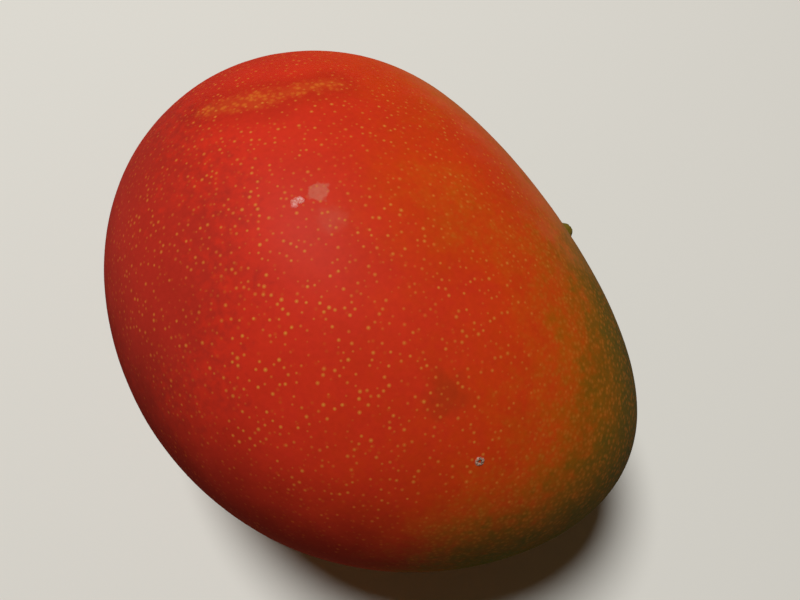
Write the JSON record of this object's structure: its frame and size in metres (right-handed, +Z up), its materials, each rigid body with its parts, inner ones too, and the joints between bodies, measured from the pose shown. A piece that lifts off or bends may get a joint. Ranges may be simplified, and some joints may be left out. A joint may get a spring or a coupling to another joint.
{
  "type": "mango",
  "caption": "Whole ripe mango lying on one cheek, an egg-shaped fruit with a small beak on its flatter side and a stem scar in a shallow dimple.",
  "frame": {"origin": "middle of the fruit's box, level with the flat spot it lies on", "axes": "+Z up, square to the flat spot; +X towards the apex, -X towards the stem end; +Y towards the ventral side, which has the beak"},
  "size_m": [0.1166, 0.0958, 0.0804],
  "materials": {
    "skin": "satin, waxy"
  },
  "bodies": {
    "root": {"mango": "skin"}
  },
  "joints": []
}
